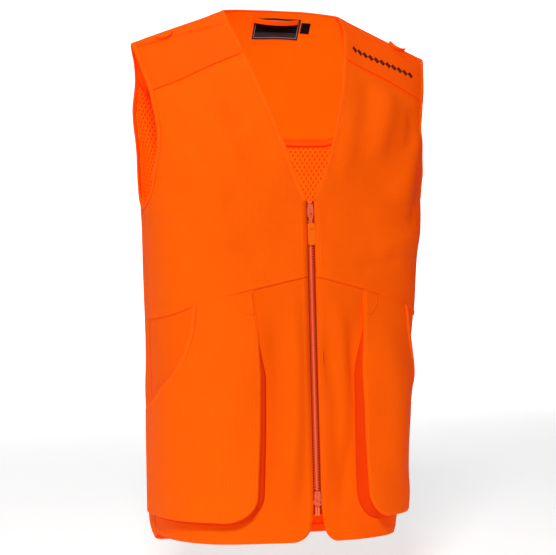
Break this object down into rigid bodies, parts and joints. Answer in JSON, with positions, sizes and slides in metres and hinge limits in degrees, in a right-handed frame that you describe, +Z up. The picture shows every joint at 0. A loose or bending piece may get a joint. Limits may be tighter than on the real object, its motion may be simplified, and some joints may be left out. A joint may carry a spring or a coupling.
{
  "type": "field vest",
  "caption": "Sleeveless V-neck field vest in blaze orange with a two-way front zip, mesh-lined back, bound armholes and two side-entry bellows pockets.",
  "frame": {"origin": "middle of the space behind the hang loop at the back neck, on the middle plane", "axes": "+Z up, -Y to the wearer's front, +X to the wearer's left"},
  "size_m": [0.4172, 0.2578, 0.7442],
  "materials": {
    "shell": "matt woven polyester, fluorescent orange",
    "ripstop": "matt ripstop polyester, fluorescent orange",
    "mesh": "knitted polyester mesh, fluorescent orange",
    "tape": "woven tape and folded binding, orange",
    "label": "black woven label",
    "print": "brown transfer print",
    "zip_plastic": "moulded acetal, salmon orange",
    "pull_tab": "soft moulded tab, light orange"
  },
  "bodies": {
    "back": {"back_yoke": "shell", "back_panel": "shell", "back_mesh_lining": "mesh", "back_hem_facing": "shell", "yoke_seam_tape": "tape", "back_neck_binding": "tape", "hang_loop": "tape", "neck_label": "label", "size_tag": "label", "shoulder_print": "print", "left_front_yoke": "shell", "right_front_yoke": "shell", "left_shoulder_loop": "tape", "right_shoulder_loop": "tape", "left_back_armhole_binding": "tape", "right_back_armhole_binding": "tape"},
    "left_front": {"left_chest_panel": "ripstop", "left_lower_front": "shell", "left_pocket_panel": "ripstop", "left_pocket_gusset": "shell", "left_pocket_mouth_binding": "tape", "left_pocket_corner_patch": "shell", "left_neck_binding": "tape", "left_armhole_binding": "tape", "left_zip_tape": "tape", "left_zip_teeth": "zip_plastic", "left_top_stop": "zip_plastic", "left_zip_pin": "zip_plastic"},
    "right_front": {"right_chest_panel": "ripstop", "right_lower_front": "shell", "right_pocket_panel": "ripstop", "right_pocket_gusset": "shell", "right_pocket_mouth_binding": "tape", "right_pocket_corner_patch": "shell", "right_neck_binding": "tape", "right_armhole_binding": "tape", "right_zip_tape": "tape", "right_zip_teeth": "zip_plastic", "right_top_stop": "zip_plastic", "right_zip_pin": "zip_plastic"},
    "top_slider": {"top_slider_front": "zip_plastic", "top_slider_back": "zip_plastic"},
    "top_puller": {"top_pull_link": "zip_plastic", "top_pull_tab": "pull_tab"},
    "bottom_slider": {"bottom_slider_front": "zip_plastic", "bottom_slider_back": "zip_plastic"},
    "bottom_puller": {"bottom_pull_ring": "zip_plastic"}
  },
  "joints": [
    {"name": "left_front_swing", "type": "hinge", "parent": "back", "child": "left_front", "pos_m": [0.18209, -0.0222, -0.483], "axis": [0.0715, 0, 0.9974], "range_deg": [0, 30]},
    {"name": "right_front_swing", "type": "hinge", "parent": "back", "child": "right_front", "pos_m": [-0.18209, -0.0222, -0.483], "axis": [0.0715, 0, -0.9974], "range_deg": [0, 30]},
    {"name": "top_slider_run", "type": "slide", "parent": "left_front", "child": "top_slider", "axis": [0, -0.0701, -0.9975], "range_m": [0, 0.2]},
    {"name": "top_puller_flip", "type": "hinge", "parent": "top_slider", "child": "top_puller", "pos_m": [0, -0.13705, -0.27209], "axis": [-1, 0, 0], "range_deg": [0, 150]},
    {"name": "bottom_slider_run", "type": "slide", "parent": "left_front", "child": "bottom_slider", "axis": [0, 0.0701, 0.9975], "range_m": [0, 0.11]},
    {"name": "bottom_puller_flip", "type": "hinge", "parent": "bottom_slider", "child": "bottom_puller", "pos_m": [0, -0.16364, -0.65034], "axis": [-1, 0, 0], "range_deg": [0, 150]}
  ],
  "couplings": [
    {"joint": "right_front_swing", "follows": "left_front_swing", "ratio": 1}
  ]
}
